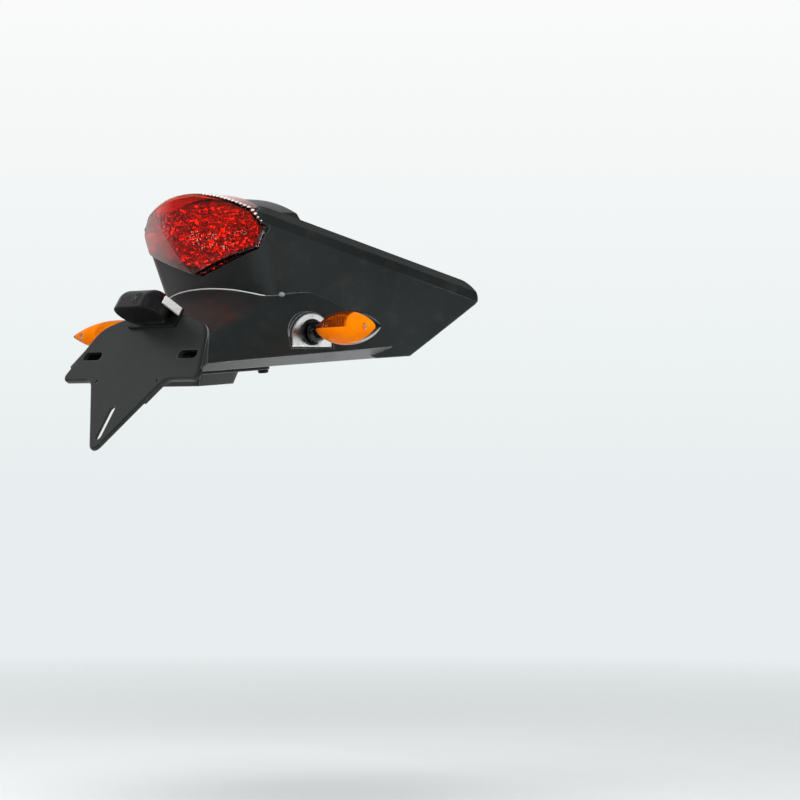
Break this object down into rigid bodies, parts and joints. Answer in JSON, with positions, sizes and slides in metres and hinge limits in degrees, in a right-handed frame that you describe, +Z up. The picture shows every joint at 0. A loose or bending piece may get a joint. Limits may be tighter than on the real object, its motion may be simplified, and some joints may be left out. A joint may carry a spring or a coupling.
{
  "type": "motorcycle tail tidy",
  "caption": "Moulded tail tidy for a motorcycle: tapering cowl round a red tail light, fishtail number-plate carrier, hooded plate lamp and amber indicators on rubber stems.",
  "frame": {"origin": "centre of the four frame fixings, on the top of their pads", "axes": "+X to the rider's right, +Y forwards, +Z up"},
  "size_m": [0.3396, 0.2502, 0.1705],
  "materials": {
    "tail_body": "fine satin grain",
    "mounting_sleeves": "zinc plated",
    "under_cover": "satin",
    "under_cover_screws": "black oxide",
    "tail_light_lens": "clear moulded red",
    "tail_light_housing": "satin",
    "tail_light_screws": "zinc plated",
    "tail_light_reflector": "bright metallised",
    "tail_light_board": "white solder mask",
    "tail_light_leds": "clear red",
    "plate_lamp_bracket": "bright pressed sheet",
    "plate_lamp_bracket_screws": "zinc plated",
    "plate_lamp_bracket_nuts": "zinc plated",
    "plate_lamp_hood": "semi gloss",
    "plate_lamp_screw": "black oxide",
    "plate_lamp_nut": "zinc plated",
    "plate_lamp_lens": "clear",
    "plate_lamp_board": "white solder mask",
    "plate_lamp_leds": "phosphor yellow",
    "indicator_adaptor": "bright plated",
    "indicator_stem": "moulded",
    "indicator_stud": "zinc plated",
    "indicator_washer": "zinc plated",
    "indicator_nut": "zinc plated",
    "indicator_body": "gloss",
    "indicator_lens": "clear moulded amber",
    "indicator_reflector": "bright metallised",
    "indicator_bulb": "clear",
    "indicator_lens_screw": "zinc plated"
  },
  "bodies": {
    "root": {"tail_body": "tail_body", "mounting_sleeves": "mounting_sleeves", "under_cover": "under_cover", "under_cover_screws": "under_cover_screws", "tail_light_lens": "tail_light_lens", "tail_light_housing": "tail_light_housing", "tail_light_screws": "tail_light_screws", "tail_light_reflector": "tail_light_reflector", "tail_light_board": "tail_light_board", "tail_light_leds": "tail_light_leds", "plate_lamp_bracket": "plate_lamp_bracket", "plate_lamp_bracket_screws": "plate_lamp_bracket_screws", "plate_lamp_bracket_nuts": "plate_lamp_bracket_nuts", "plate_lamp_hood": "plate_lamp_hood", "plate_lamp_screw": "plate_lamp_screw", "plate_lamp_nut": "plate_lamp_nut", "plate_lamp_lens": "plate_lamp_lens", "plate_lamp_board": "plate_lamp_board", "plate_lamp_leds": "plate_lamp_leds", "right_indicator_adaptor": "indicator_adaptor", "left_indicator_adaptor": "indicator_adaptor", "right_indicator_stem": "indicator_stem", "left_indicator_stem": "indicator_stem", "right_indicator_stud": "indicator_stud", "left_indicator_stud": "indicator_stud", "right_indicator_washer": "indicator_washer", "left_indicator_washer": "indicator_washer", "right_indicator_nut": "indicator_nut", "left_indicator_nut": "indicator_nut", "right_indicator_body": "indicator_body", "left_indicator_body": "indicator_body", "right_indicator_lens": "indicator_lens", "left_indicator_lens": "indicator_lens", "right_indicator_reflector": "indicator_reflector", "left_indicator_reflector": "indicator_reflector", "right_indicator_bulb": "indicator_bulb", "left_indicator_bulb": "indicator_bulb", "right_indicator_lens_screw": "indicator_lens_screw", "left_indicator_lens_screw": "indicator_lens_screw"}
  },
  "joints": []
}
